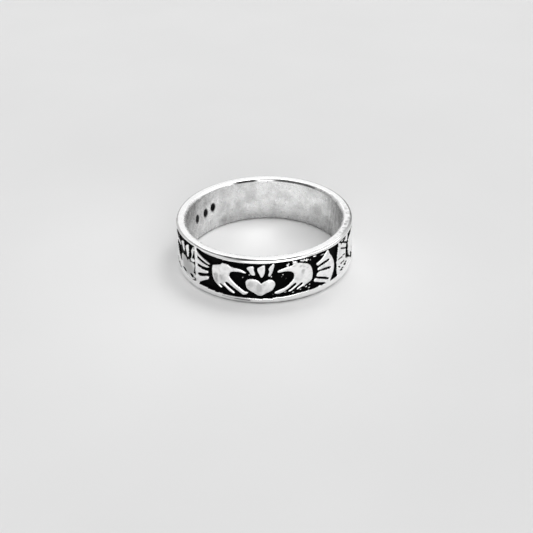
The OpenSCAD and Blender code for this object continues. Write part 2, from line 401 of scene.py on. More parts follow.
scratches = [
    # from, to, half width in mm, how black: the filled cuff of the second repeat
    ((103.8, 98), (112, 98), 0.13, 1), ((103.8, 97), (111, 83), 0.15, 0.9),
    ((111, 83), (115.4, 73), 0.18, 1), ((106, 75.5), (113.5, 61), 0.15, 1),
    ((102.8, 49), (107.5, 48.5), 0.14, 0.75), ((108.3, 51), (111.3, 47.5), 0.13, 0.75),
    ((103, 28), (104.8, 23), 0.14, 0.75), ((105.8, 32), (110.2, 30.5), 0.14, 0.9),
    ((105.3, 13), (107.8, 9), 0.15, 0.8), ((107, 15), (109.3, 13), 0.15, 0.8),
    ((110.3, 20), (112.8, 15), 0.19, 0.95), ((112, 22), (114.5, 19), 0.14, 0.8),
    ((106, 88), (110.5, 95.5), 0.16, 0.9), ((108.8, 88.5), (112.2, 93.5), 0.13, 0.8),
    # two small bites out of the bottom rim's edge
    ((43.5, 0.5), (46.8, -0.8), 0.13, 0.85), ((50.8, -0.3), (53, -0.6), 0.12, 0.85),
]
# Pools, pits and cracks are counted back from the seam, a whole turn further on
seam_again = around / repeat_len
pools = [
    # along, up, half length, half height in mm, tilt
    (-13, 12, 3.1, 0.8, 0), (-3.6, 59, 0.48, 0.3, 0), (-8, 47, 0.34, 0.28, 0),
]
pits = [
    # along, up, half length, half height in mm, tilt
    (-14.8, 10.5, 0.7, 0.26, 0), (-5, 11.5, 0.5, 0.32, 0), (-1.3, 9, 0.3, 0.15, 0),
]
cracks = [
    # from, to
    ((-1.9, 73), (-0.6, 62)), ((-0.6, 62), (-0.5, 46)), ((-0.5, 46), (-2.2, 24)),
]
print("specks:", len(specks), "dents:", len(dents), "scratches:", len(scratches), "pits:", len(pits))

# %% [markdown]
# ## Where the rims end, and three punch marks
# The rims' edges beside the panel were trimmed by hand, so they wander, and a table holds their
# heights. Inside the band stand three small plain oval punch marks. Both are distances again.

# %% Distances for the rims and the punch marks
rim_edges = [
    # along in hundredths, upper edge of the bottom rim, lower edge of the top rim in mm
    (0, 0.8, 5.45), (4, 0.78, 5.45), (9, 0.74, 5.36), (15, 0.71, 5.28), (25, 0.66, 5.17),
    (50, 0.68, 5.17), (58, 0.74, 5.26), (70, 0.86, 5.24), (85, 0.88, 5.27), (98, 0.86, 5.15),
    (140, 0.8, 5.2), (322, 0.72, 5.2), (330, 0.72, 5.42), (356, 0.8, 5.45),
]
punch_marks = [
    # degrees from the front, height in mm
    (-118.2, 2.9), (-129, 2.9), (-137, 3.15),
]
punch_half_wide = 0.42
punch_half_high = 0.62
# A distance in mm that is farther than any on the band matters
FAR_OFF = 9.0


def rim_distance(along, up):
    """Distance into the nearest rim in mm, positive inside the rim."""
    places, bottoms, tops = zip(*rim_edges)
    hundredths = along / repeat_len * 100
    bottom, top = np.interp(hundredths, places, bottoms), np.interp(hundredths, places, tops)
    return np.maximum(bottom - up, up - top)


def punch_distance(turn, up):
    """Distance into the nearest punch mark in mm, positive inside it."""
    best = np.full(len(turn), -FAR_OFF)
    for degrees, z in punch_marks:
        across = np.degrees(turn) - degrees
        across = (across + 180) % 360 - 180
        x = np.radians(across) * inner_r / punch_half_wide
        y = (up - z) / punch_half_high
        best = np.maximum(best, (1 - np.hypot(x, y)) * punch_half_wide)
    return best


rim_heights = [row[1] for row in rim_edges]
print("bottom rim from", min(rim_heights), "to", max(rim_heights), "mm high")

# %% [markdown]
# ## More faces where the pattern's walls will stand
# An even mesh fine enough for the walls would be far too heavy. The faces near an outline, a
# rim's edge, the seam or a small mark are therefore cut in half twice, the second time closer
# to it, and the rest stay as they are.

# %% Finer faces near the outlines
# Faces within this many mm of the outer or the inner radius belong to that side
side_depth = 0.1
# A small mark counts from this strength on
mark_share = 0.15
# Half width in mm that is refined at a crack, and how much wider than a scratch
crack_surround = 0.2
scratch_surround = 1.3


def fine_marks(along, up):
    """1 where a small mark needs finer faces."""
    found = [oval(along, up, *zone) for zone in crumbly] + [oval(along, up, *speck[:5]) for speck in specks]
    found += [groove(along, up, start, end, scratch_surround * half_wide)
              for start, end, half_wide, _ in scratches]
    found += [oval(along, up, *pit, repeat=seam_again) for pit in pits]
    found += [groove(along, up, start, end, crack_surround, repeat=seam_again) for start, end in cracks]
    return np.max(found, axis=0)


def refine(bm, reach):
    """Halves the edges of the faces whose middle is within `reach` mm of a line that matters."""
    middles = np.array([f.calc_center_median() for f in bm.faces])
    along, up = strip_place(middles)
    radius = np.hypot(middles[:, 0], middles[:, 1]) / MM
    turn = np.arctan2(middles[:, 0], -middles[:, 1])
    near = np.full(len(middles), FAR_OFF)
    outside = radius > outer_r - side_depth
    x, z = along[outside], up[outside]
    to_line = np.abs(np.maximum(pattern_distance(x, z), rim_distance(x, z)))
    to_line = np.where(fine_marks(x, z) > mark_share, 0, to_line)
    near[outside] = np.minimum(to_line, np.abs(x - seam_w / 2) - seam_w / 2)
    inside = radius < inner_r + side_depth
    near[inside] = np.maximum(0, -punch_distance(turn[inside], up[inside]))
    chosen = {e for f, d in zip(bm.faces, near) if d < reach for e in f.edges}
    bmesh.ops.subdivide_edges(bm, edges=list(chosen), cuts=1, use_grid_fill=True)
    print("faces after cutting within", reach, "mm:", len(bm.faces))


refine(bm, reach=0.25)
refine(bm, reach=0.11)
bmesh.ops.triangulate(bm, faces=[f for f in bm.faces if len(f.verts) > 4])
print("triangles:", sum(len(f.verts) - 2 for f in bm.faces))

# %% [markdown]
# ## Pressing the pattern in
# Every spot of the outer wall now moves towards the finger by the depth of its place. The walls
# of the shapes lean a little and their shoulders are rounded, as tumbling and polishing leave
# them. A slow noise moves the outlines by a few hundredths, because a casting is never exact.

# %% Depth of the pattern
# In mm: the pattern sits this much low on the strip, and polishing took this off every outline
sag = 0.03
worn_off = 0.03
# Outlines wander by this in slow and in quick waves, and rims by a share of that and a little more
slow_wander, quick_wander = 0.03, 0.016
rim_share, rim_wander = 0.9, 0.02
# A wall starts at the ground this far outside the outline, and is up this far inside it
wall_foot, wall_top = -0.08, 0.01
# The black ends between these two distances from the outline
black_from, black_to = -0.015, 0.01
# Extra depth at a shape's edge and at a rim's edge, and how far in it fades
shape_droop, shape_droop_reach = 0.03, 0.08
rim_droop, rim_droop_reach = 0.012, 0.05
# Unevenness of the blackened ground, which starts between these two depths
grain = 0.014
grain_from, grain_to = 0.2, 0.33
# Points this near to the outer radius, up to this far under the top, belong to the outer wall
wall_reach = 0.2
top_margin = 0.1
# A point may miss a limit by this
slack = 0.001


def ripple(points, size, seed):
    """Smooth noise about `size` millimetres wide, from -1 to 1."""
    shift = Vector((seed * 17.3, seed * 5.1, seed * 9.7))
    return np.array([noise.noise(Vector(p) / (size * MM) + shift) for p in points])


bm.verts.ensure_lookup_table()
points = np.array([v.co for v in bm.verts])
radius = np.hypot(points[:, 0], points[:, 1]) / MM
turn = np.arctan2(points[:, 0], -points[:, 1])
along, up = strip_place(points)
on_wall = (radius > outer_r - wall_reach) & (up > outer_round - slack) & (up < band_h - top_margin)

spots = points[on_wall]
x, z = along[on_wall], up[on_wall]
uneven = slow_wander * ripple(spots, size=0.7, seed=1) + quick_wander * ripple(spots, size=0.25, seed=2)
into_shape = pattern_distance(x, z + sag) - worn_off + uneven
into_rim = rim_distance(x, z) + rim_share * uneven + rim_wander * ripple(spots, size=1.6, seed=3)
stands_shape = ramp(into_shape, wall_foot, wall_top)
stands_rim = ramp(into_rim, wall_foot, wall_top)
blackened = 1 - ramp(np.maximum(into_shape, into_rim), black_from, black_to)
shape_top = relief_drop + shape_droop * np.exp(-np.maximum(into_shape, 0) / shape_droop_reach)
shape_depth = recess + (shape_top - recess) * stands_shape
depth = np.minimum(shape_depth, recess * (1 - stands_rim))
depth = np.where(stands_rim > 0.999, rim_droop * np.exp(-into_rim / rim_droop_reach), depth)
depth += grain * ripple(spots, size=0.18, seed=4) * ramp(depth, grain_from, grain_to)
print("outer spots pressed:", int(on_wall.sum()))

# %% [markdown]
# ## Putting the marks in
# A speck lifts the ground and takes its black away, a dent only pushes silver down, and a scratch
# holds some black. In the crumbly places a fine noise makes crumbs in numbers that no table
# should hold. The repeats that the picture doesn't show get their specks at random.

# %% Marks left by casting and wear
# Crumbs: width in mm, share of the relief's height, share of the black that they lose
crumb_width = 0.2
crumb_rise = 0.9
crumb_shine = 0.68
# The noise that makes a whole crumb, and what it loses outside the crumbly places
crumb_full = 0.22
crumb_loss = 0.9
# Dents press silver only, from the first of these distances inside a shape to the second
dent_from, dent_to = -0.05, 0.05
scratch_depth = 0.10
# Random specks in a repeat
random_specks = 22
# Heights of the open ground in hundredths, for the random specks
open_heights = (6, 12, 60, 90, 95)


def bead(spot, rise, repeat=0):
    """Raises a speck of silver out of the black ground."""
    grown = rise * oval(x, z, *spot, repeat=repeat)
    np.minimum(depth, recess - (recess - relief_drop) * grown, out=depth)
    np.minimum(blackened, 1 - grown, out=blackened)


for speck in specks:
    bead(speck[:5], speck[5])
zones = np.max([oval(x, z, *zone) for zone in crumbly], axis=0)
crumbs = ramp(ripple(spots, crumb_width, seed=6) - crumb_loss * (1 - zones), 0, crumb_full)
np.minimum(depth, recess - crumb_rise * (recess - relief_drop) * crumbs, out=depth)
np.minimum(blackened, 1 - crumb_shine * crumbs, out=blackened)
for start, end, half_wide, deep in dents:
    depth += deep * groove(x, z, start, end, half_wide) * ramp(into_shape, dent_from, dent_to)
for start, end, half_wide, how_black in scratches:
    cut = groove(x, z, start, end, half_wide)
    depth += scratch_depth * how_black * cut
    np.maximum(blackened, how_black * ramp(cut, 0.05, 0.5), out=blackened)
chance = random.Random(11)
for repeat in (1, 2, 3):
    for _ in range(random_specks):
        where = (chance.uniform(8, 98), chance.choice(open_heights) + chance.uniform(-5, 5))
        size = chance.uniform(0.09, 0.16)
        rise = chance.uniform(0.4, 0.9)
        bead((*where, size * chance.uniform(0.9, 1.6), size, chance.uniform(-30, 30)), rise, repeat)
print("share of the wall that is black:", round(float(blackened.mean()), 2))

# %% [markdown]
# ## The soldered seam
# The strip's ends were butted and flooded with solder, which was filed nearly flush. It comes
# last, because it ran over everything else, and it left pits and a crack.

# %% Solder, pits and crack
# The strip's middle past the seam and its half width in mm
strip_middle = 0.12
strip_half = 0.18
# Depths below the rims in mm, and a crack's half width
strip_depth = 0.02
pool_depth = 0.06
crack_depth = 0.25
crack_half = 0.15

from_seam = np.where(x > around / 2, x - around, x)
strip_rise = ramp(strip_half + 0.5 * uneven - np.abs(from_seam - strip_middle), -0.06, 0.06)
depth = np.minimum(depth, recess + (strip_depth - recess) * strip_rise)
blackened = np.minimum(blackened, 1 - strip_rise)
for pool in pools:
    melt = ramp(oval(x, z, *pool, repeat=seam_again) + 4 * uneven, 0.15, 0.55)
    depth = np.minimum(depth, recess + (pool_depth - recess) * melt)
    blackened = np.minimum(blackened, 1 - melt)
for pit in pits:
    hollow = oval(x, z, *pit, repeat=seam_again)
    depth = np.maximum(depth, recess * hollow)
    blackened = np.maximum(blackened, ramp(hollow, 0.1, 0.5))
for start, end in cracks:
    split = groove(x, z, start, end, crack_half, repeat=seam_again)
    depth = np.maximum(depth, crack_depth * split)
    blackened = np.maximum(blackened, ramp(split, 0.05, 0.6))
depth = np.clip(depth, 0, recess + 0.03)
radius[on_wall] = np.minimum(radius[on_wall], outer_r - depth)
print("deepest spot in mm:", round(float(depth.max()), 3))

# %% [markdown]
# ## The inner wall, and what the materials need to know
# The inside is only rubbed smooth, so it keeps a slow waviness that breaks up reflections. The
# punch marks are pressed into it. Three amounts are found here for each point, and materials read
# them as attributes: how black it is, how well the wheel polished it, and how dull and grey it is.
# The hearts' middles and a few hollows of the palms are rougher where the wheel missed them, and
# their silver is also painted greyer, as painted shade for the dark things they reflect.

# %% Inner wall, blackening, polish, and haze with painted shade
dull_and_shaded_spots = [
    # along, up, half length, half height in mm, how dull and painted grey
    (17.6, 42, 0.45, 0.95, 0.8), (22, 44, 0.6, 0.8, 0.6), (73, 64, 0.3, 0.35, 0.9),
    (70.5, 50, 0.8, 0.6, 0.3), (40.4, 40, 0.55, 0.5, 0.9), (45.4, 30, 0.5, 0.85, 1),
    # the heart beside the seam
    (346.5, 34, 1.9, 1.6, 1),
]
# Depth in mm of the inner wall's waves and of the punch marks
waviness = 0.012
punch_depth = 0.10
# The dullness and painted shade of a heart start between these two distances from its edge
dull_from, dull_to = 0.05, 0.28

inner = (radius < inner_r + 0.02) & (up > inner_round - slack) & (up < band_h - inner_round + slack)
mark = ramp(punch_distance(turn[inner], up[inner]), -0.04, 0.10)
radius[inner] += waviness * (1 + ripple(points[inner], size=2.2, seed=5)) / 2 + punch_depth * mark

black = np.zeros(len(points))
black[on_wall] = blackened
black[inner] = mark
polish = (radius > inner_r + 0.03).astype(float)
polish[on_wall] = stands_rim
haze_and_painted_shade = np.zeros(len(points))
# Painted shade: the hearts' middles are painted greyer for the floor they reflect, and are also duller
heart_middle = ramp(pattern_distance(x, z, [heart_outline]), dull_from, dull_to)
haze_and_painted_shade[on_wall] = heart_middle * (0.5 + 0.7 * ripple(spots, size=0.9, seed=7))
for along_at, up_at, half_long, half_high, amount in dull_and_shaded_spots:
    haze_and_painted_shade[on_wall] = np.maximum(haze_and_painted_shade[on_wall], amount * oval(x, z, along_at, up_at, half_long, half_high))
print("points of the inner wall:", int(inner.sum()), "of them in punch marks:", int((mark > 0.5).sum()))

# %% [markdown]
# ## Tables of the tarnish and the painted shade
# Grey is painted at the sides of the inner wall, under the upper edge and at the foot, where it
# stands in for shade and dark reflections; elsewhere it is tarnish. It is only a colour. Most tables
# give its amount by the angle from the front, and streaks and patches have rows of their own.

# %% Where grey is painted for shade, and where the silver has gone grey
# Painted shade: grey at the sides of the inner wall stands in for the darker floor that they reflect
inner_sides_painted_shade = [
    # degrees from the front, how grey
    (-180, 0.08), (-150, 0.1), (-130, 0.15), (-112, 0.45), (-95, 0.6), (-75, 0.2), (-60, 0), (60, 0),
    (75, 0.25), (95, 0.55), (112, 0.28), (130, 0.08), (150, 0.04), (180, 0.06),
]
shoulder_painted_reflection = [
    # degrees from the front, how grey: painted reflection, the dark line along the upper rim's rounded
    # shoulder
    (-180, 0.3), (-110, 0.45), (-75, 0.25), (-60, 0.22), (-45, 0.35), (-32, 0.7), (-20, 1),
    (-8, 0.85), (0, 0.7), (20, 0.55), (40, 0.4), (62, 0.2), (80, 0.4), (100, 0.5), (120, 0.5),
    (140, 0.45), (160, 0.3), (180, 0.3),
]
# Painted contact shade: grey at the outer foot stands in for the shadow where the ring meets the floor
foot_painted_contact_shade = [
    # degrees from the front, how grey
    (-180, 0.3), (-90, 0.1), (-75, 0.1), (-60, 0.4), (-45, 0.7), (-15, 1), (15, 0.9), (30, 0.75),
    (45, 0.6), (60, 0.45), (75, 0.3), (90, 0.15), (180, 0.3),
]
# Painted reflections: dark grey lines under the inner upper edge stand in for the dark things mirrored
# there
painted_lines_under_edge = [
    # from, to in degrees from the front, how grey
    (118, 140, 0.45), (136, 173, 0.85), (170, 187, 0.25), (184, 203, 1),
]
grey_patches = [
    # degrees from the front, height, half width and half height in mm, how grey: on the inner wall
    (191, 3.1, 1, 0.85, 0.15), (168, 3.4, 1.1, 0.6, 0.24), (151, 2.6, 1, 0.6, 0.18),
    (134, 2.9, 0.9, 0.9, 0.22), (213, 2.9, 0.8, 1.2, 0.2), (201, 2.6, 0.6, 0.7, 0.14),
    (232, 4.2, 0.8, 0.6, 0.2), (213, 1, 0.5, 0.7, 0.22), (206.5, 4.05, 0.16, 0.16, 0.6),
]
streaks = [
    # from, to on the strip, half width in mm, how grey: the bottom rim's
    ((21.5, -4), (31, -5), 0.13, 0.5), ((30, -5), (39.4, -6), 0.14, 0.95),
    ((22, -10.5), (33, -8.5), 0.12, 0.45),
    # the left palm's, the right thumb's, and the heart's beside the seam
    ((16, 52), (17.9, 33), 0.15, 0.45), ((20.6, 51), (21.8, 43), 0.26, 0.3),
    ((66.1, 84.4), (71.6, 80.5), 0.08, 0.5), ((71.6, 80.5), (76.6, 71.5), 0.08, 0.5),
    ((343, 40), (350, 30), 1.3, 0.1),
]
worn_top = [
    # degrees from the front, how much of the upper rim's flat has fine marks
    (-180, 0), (50, 0), (66, 1), (88, 1), (108, 0), (180, 0),
]
print("grey patches:", len(grey_patches), "streaks:", len(streaks))

# %% [markdown]
# ## Tarnish and painted shade on the finger side
# The grey of the inner wall is a thin cloudy film, with painted shade at its sides, low down at the
# back and at its foot, and painted dark reflections under its upper edge. On the right it is broken
# by the upright strokes of the emery stick: the same noise, read in a space that is stretched in one
# direction, gives such strokes without drawing them.

# %% Film, painted shade, patches and strokes inside
# How grey the inner foot's painted shade, the low painted shade, the clouds of the film and the strokes are
inner_foot_painted_shade = 0.65
low_painted_shade = 0.32
cloud_grey = 0.06
stroke_grey = 0.22
# How high the low painted shade reaches, and over how much height it thickens, in mm
low_shade_height = 3.6
low_shade_over = 3.4
# Where it and the strokes lie, as degrees from the front round by the right
low_shade_turns = (92, 232)
stroke_turns = (92, 138)
# The strokes lean by this, and are longer than wide by one over the stretch
stroke_slant = 0.2
stroke_stretch = 0.15
# The painted dark lines under the edge lie between these heights in mm
line_low, line_high = 5.3, 5.52
# Half of the soft end of a line under the edge, in degrees
soft_end = 4


def by_turn(table, chosen):
    """Looks an amount up in a table of degrees from the front, and breaks it up a little."""
    found = np.interp(np.degrees(turn[chosen]), *zip(*table))
    return np.clip(found * (1 + 0.5 * ripple(points[chosen], size=0.7, seed=9)), 0, 1)


def between_turns(degrees, start, end, rise, fall):
    """1 from one angle to another, with ends that rise and fall over so many degrees."""
    return ramp(degrees, start, start + rise) * (1 - ramp(degrees, end - fall, end))


tarnish_and_painted_shade = np.zeros(len(points))
tarnish_and_painted_shade[inner] = by_turn(inner_sides_painted_shade, inner)
inner_points, inner_up = points[inner], up[inner]
degrees = np.degrees(turn[inner]) % 360
# Painted shade: grey low down at the back of the inner wall, where it reflects the shaded floor
below_line = low_shade_height - inner_up + 0.9 * ripple(inner_points, size=2.2, seed=14)
lower = ramp(below_line, 0, low_shade_over)
tarnish_and_painted_shade[inner] += low_painted_shade * lower * between_turns(degrees, *low_shade_turns, rise=33, fall=27)
tarnish_and_painted_shade[inner] += cloud_grey * ripple(inner_points, size=1.6, seed=15)
for place, height, half_wide, half_high, amount in grey_patches:
    away = np.hypot(np.radians(degrees - place) * inner_r / half_wide, (inner_up - height) / half_high)
    tarnish_and_painted_shade[inner] += amount * (1 - ramp(away + 0.3 * ripple(inner_points, size=0.6, seed=17), 0.3, 1.2))
across = np.radians(degrees) * inner_r + stroke_slant * inner_up
strokes = np.column_stack([across, stroke_stretch * inner_up, 0 * degrees]) * MM
stroked = between_turns(degrees, *stroke_turns, rise=16, fall=20)
tarnish_and_painted_shade[inner] += stroke_grey * ripple(strokes, size=0.28, seed=16) * stroked
# Painted shade: the inner foot's rounding is grey where it reflects the shaded gap at the floor
inner_foot = (radius < inner_r + 0.2) & (up < inner_round) & (up > 0.01)
tarnish_and_painted_shade[inner_foot] = inner_foot_painted_shade
# Painted dark reflections in a band under the inner upper edge
under_edge = (radius < inner_r + 0.25) & (up > line_low) & (up < line_high)
degrees = np.degrees(turn[under_edge]) % 360
for start, end, amount in painted_lines_under_edge:
    start, end, soft = start - soft_end, end + soft_end, 2 * soft_end
    line_here = amount * between_turns(degrees, start, end, soft, soft)
    tarnish_and_painted_shade[under_edge] = np.maximum(tarnish_and_painted_shade[under_edge], line_here)
print("mean grey of the inner wall:", round(float(tarnish_and_painted_shade[inner].mean()), 2))

# %% [markdown]
# ## Painted shade and tarnish on the rims and the pattern
# Outside, the wheel keeps the silver white, and grey stands only in lines and streaks: a painted
# reflection along the upper shoulder, painted contact shade at the foot, and a few grey streaks.
# On the right the upper rim's flat is peppered with fine marks.

# %% Painted lines, streaks and the worn rim
# In mm: the shoulder's painted line reaches this far down, and lies this far in from the outside
shoulder_down = 0.15
shoulder_from, shoulder_to = 0.30, 0.13
# The flat that can be worn starts this far out from the inner wall
flat_from = 0.42
# Mean and spread of its fine marks
mark_mean, mark_spread = 0.14, 0.7

on_shoulder = (up > band_h - shoulder_down) & (up < band_h - slack)
on_shoulder &= (radius > outer_r - shoulder_from) & (radius < outer_r - shoulder_to)
# Painted reflection: grey on the outer shoulder stands in for the dark part of the room that it mirrors
tarnish_and_painted_shade[on_shoulder] = by_turn(shoulder_painted_reflection, on_shoulder)
# Painted contact shade at the outer foot, weaker towards its top
at_foot = (up > 0.005) & (up < outer_round + 0.01) & (radius > outer_r - 0.2)
fading_up = 1 - 0.55 * ramp(up[at_foot], outer_round - 0.02, outer_round)
tarnish_and_painted_shade[at_foot] = by_turn(foot_painted_contact_shade, at_foot) * fading_up
for start, end, half_wide, amount in streaks:
    tarnish_and_painted_shade[on_wall] = np.maximum(tarnish_and_painted_shade[on_wall], amount * groove(x, z, start, end, half_wide))
on_top = (up > band_h - slack) & (radius > inner_r + flat_from)
worn_side = np.interp(np.degrees(turn[on_top]), *zip(*worn_top))
fine = mark_mean + mark_spread * ripple(points[on_top], size=0.42, seed=12)
tarnish_and_painted_shade[on_top] = worn_side * np.clip(fine, 0, 1)
print("mean grey of the foot:", round(float(tarnish_and_painted_shade[at_foot].mean()), 2))

# %% [markdown]
# ## The finished mesh
# Until now only lists of radii were changed, which is quick. Here every point moves to its new
# radius, the faces near the finger get the second material, and the mesh keeps the four amounts.

# %% Moving the points and keeping the attributes
# The satin reaches this far out over the roundings, in mm from the axis
satin_to = inner_r + 0.35

for vertex, r, t in zip(bm.verts, radius, turn):
    vertex.co.x = r * math.sin(t) * MM
    vertex.co.y = -r * math.cos(t) * MM
ring_mesh = bpy.data.meshes.new("Ring band")
for face in bm.faces:
    face.smooth = True
    face.material_index = int(math.hypot(*face.calc_center_median().xy) < satin_to * MM)
bm.to_mesh(ring_mesh)
bm.free()
for name, amount in (("blackening", black), ("polish", polish), ("haze_and_painted_shade", haze_and_painted_shade), ("tarnish_and_painted_shade", tarnish_and_painted_shade)):
    layer = ring_mesh.attributes.new(name, "FLOAT", "POINT")
    layer.data.foreach_set("value", np.clip(amount, 0, 1).astype(np.float32))
ring = bpy.data.objects.new("Ring_band", ring_mesh)
bpy.context.collection.objects.link(ring)
ring_mesh.calc_loop_triangles()
print("triangles of the ring:", len(ring_mesh.loop_triangles))
print("black share of its points:", round(float(black.mean()), 2))

# %% [markdown]
# ## Colours and a way to add nodes
# Colours are written as sRGB, as a colour picker shows them, and one function turns them linear,
# which is what the renderer counts in. One more function adds a node with its settings and links.
# A texture's scale follows from the real width of its pattern, in millimetres.

# %% Colour and node helpers
def linear(hex_colour):
    """An sRGB colour as linear red, green, blue and a full alpha."""
    channels = [int(hex_colour[i:i + 2], 16) / 255 for i in (1, 3, 5)]
    return [c / 12.92 if c <= 0.04045 else ((c + 0.055) / 1.055) ** 2.4 for c in channels] + [1]


def node(tree, kind, inputs=(), **settings):
    """Adds a node; each input is a value or the output of another node."""
    added = tree.nodes.new("ShaderNode" + kind)
    for name, value in settings.items():
        setattr(added, name, value)
    for name, value in dict(inputs).items():
        if isinstance(value, bpy.types.NodeSocket):
            tree.links.new(value, added.inputs[name])
        else:
            added.inputs[name].default_value = value
    return added


def per_mm(size):
    """Texture scale for a pattern `size` millimetres wide, on coordinates in metres."""
    return 1 / (size * MM)


def new_material(name):
    """An empty material and its nodes."""
    made = bpy.data.materials.new(name)
    made.use_nodes = True
    made.node_tree.nodes.clear()
    return made, made.node_tree


# Sockets of a Mix node: its share, its two numbers and its two colours, and the mixed colour
SHARE = 0
NUMBER_A, NUMBER_B = 2, 3
COLOUR_A, COLOUR_B = 6, 7
MIXED_COLOUR = 2
tarnish_and_shade_grey = linear("#2A2929")
print("tarnish as linear colour:", [round(c, 3) for c in tarnish_and_shade_grey[:3]])

# %% [markdown]
# ## Finish 1: sterling silver, polished over a blackened ground
# Sterling silver is the whitest of the metals. Its reflection is its colour, so the base colour
# is a very light grey and metallic is 1. The ground is silver sulphide, made by dipping in liver
# of sulphur: a matt, sooty black, whose edge a fine noise makes ragged. Hand polishing leaves
# the rims bright and the pattern softer, with faint duller clouds about half a millimetre wide.
# The amounts kept in the mesh say where each of these is, so the patterns come first.

# %% Polished silver: where it is black, bright or dull
outside, tree = new_material("Sterling silver, polished over blackening")
place = node(tree, "TexCoord").outputs["Object"]
grit = node(tree, "TexNoise", {
    "Vector": place, "Scale": per_mm(0.16), "Detail": 3.0, "Roughness": 0.6}).outputs[0]
clouds = node(tree, "TexNoise", {
    "Vector": place, "Scale": per_mm(0.55), "Detail": 4.0, "Roughness": 0.6}).outputs[0]
black_here = node(tree, "Attribute", attribute_name="blackening").outputs["Fac"]
wheel = node(tree, "Attribute", attribute_name="polish").outputs["Fac"]
# The haze holds real dullness and painted shade: it darkens the silver where hearts and palms reflect dark
# things
missed_and_shaded = node(tree, "Attribute", attribute_name="haze_and_painted_shade").outputs["Fac"]
# The grit makes the edge of the black ragged
loose = node(tree, "Math", {0: grit, 1: 0.5}, operation="SUBTRACT").outputs[0]
ragged = node(tree, "Math", {0: loose, 1: 0.5, 2: black_here}, operation="MULTIPLY_ADD").outputs[0]
sooty = node(tree, "MapRange", {"Value": ragged, "From Min": 0.35, "From Max": 0.65},
             interpolation_type="SMOOTHSTEP").outputs[0]
# The clouds are dull, and faint on the rims, where the wheel pressed hardest
cloudy = node(tree, "MapRange", {"Value": clouds, "From Min": 0.42, "From Max": 0.66},
              interpolation_type="SMOOTHSTEP").outputs[0]
unpolished = node(tree, "MapRange", {"Value": wheel, "To Min": 1.0, "To Max": 0.25}).outputs[0]
faint = node(tree, "Math", {0: cloudy, 1: unpolished}, operation="MULTIPLY").outputs[0]
dull_and_shaded = node(tree, "Math", {0: faint, 1: 0.35, 2: missed_and_shaded},
            operation="MULTIPLY_ADD", use_clamp=True).outputs[0]
print("outside:", outside.name)

# %% [markdown]
# ## The polished silver's colour
# Silver's light grey is a little darker in its dull clouds and where the wheel missed it, and there
# it is also painted greyer as shade. Over it lies the film of tarnish and painted shade, and over both
# the soot of the ground. Three mixes in that order stand for the wheel, the air with the painted
# shade, and the dip, so each can be changed alone. A fourth only makes the soot itself uneven.

# %% Polished silver: colour
film_and_painted_shade = node(tree, "Attribute", attribute_name="tarnish_and_painted_shade").outputs["Fac"]
silver = node(tree, "Mix", {SHARE: dull_and_shaded, COLOUR_A: linear("#FCFCFC"), COLOUR_B: linear("#C6C6C6")},
              data_type="RGBA").outputs[MIXED_COLOUR]
filmed_and_shaded = node(tree, "Mix", {SHARE: film_and_painted_shade, COLOUR_A: silver, COLOUR_B: tarnish_and_shade_grey},
              data_type="RGBA").outputs[MIXED_COLOUR]
soot = node(tree, "Mix", {SHARE: grit, COLOUR_A: linear("#000000"), COLOUR_B: linear("#141415")},
            data_type="RGBA").outputs[MIXED_COLOUR]
colour = node(tree, "Mix", {SHARE: sooty, COLOUR_A: filmed_and_shaded, COLOUR_B: soot},
              data_type="RGBA").outputs[MIXED_COLOUR]
print("nodes for its patterns and colour:", len(tree.nodes))

# %% [markdown]
# ## Its roughness and fine relief
# The rims are nearly a mirror, the pattern is softer, and the soot is matt. The grit is too fine
# to be geometry, so a bump of a few thousandths of a millimetre stands for it, weaker on the rims.

# %% Polished silver: roughness and fine relief
rim_roughness = 0.10
soot_roughness = 0.65
# Height of the grit in mm
grit_height = 0.003

raised = node(tree, "MapRange", {"Value": dull_and_shaded, "To Min": 0.28, "To Max": 0.45}).outputs[0]
gloss = node(tree, "Mix", {SHARE: wheel, NUMBER_A: raised, NUMBER_B: rim_roughness}).outputs[0]
roughness = node(tree, "Mix", {SHARE: sooty, NUMBER_A: gloss, NUMBER_B: soot_roughness}).outputs[0]
bump = node(tree, "Bump", {
    "Height": grit, "Strength": unpolished, "Distance": grit_height * MM}).outputs[0]
shader = node(tree, "BsdfPrincipled", {
    "Base Color": colour, "Metallic": 1.0, "Roughness": roughness, "Normal": bump})
node(tree, "OutputMaterial", {"Surface": shader.outputs[0]})
ring_mesh.materials.append(outside)
print("nodes of the polished silver:", len(tree.nodes))

# %% [markdown]
# ## Finish 2: sterling silver, rubbed satin
# The finger side is rubbed with an emery stick and never sees the wheel. It is the same silver
# with a duller skin: a roughness from 0.20 to 0.36 in mottles about half a millimetre wide, and
# wider patches that are a little greyer. The light from above turns them into grey and white.

# %% Satin silver
# Height of the mottles in mm
mottle_height = 0.012

satin, tree = new_material("Sterling silver, rubbed satin")
place = node(tree, "TexCoord").outputs["Object"]
mottle = node(tree, "TexNoise", {
    "Vector": place, "Scale": per_mm(0.45), "Detail": 5.0, "Roughness": 0.65}).outputs[0]
patches = node(tree, "TexNoise", {
    "Vector": place, "Scale": per_mm(1.6), "Detail": 3.0, "Roughness": 0.6}).outputs[0]
punched = node(tree, "Attribute", attribute_name="blackening").outputs["Fac"]
film_and_painted_shade = node(tree, "Attribute", attribute_name="tarnish_and_painted_shade").outputs["Fac"]
worn = node(tree, "MapRange", {"Value": patches, "From Min": 0.38, "From Max": 0.64},
            interpolation_type="SMOOTHSTEP").outputs[0]
bare = node(tree, "Mix", {SHARE: worn, COLOUR_A: linear("#FBFBFB"), COLOUR_B: linear("#E6E6E6")},
            data_type="RGBA").outputs[MIXED_COLOUR]
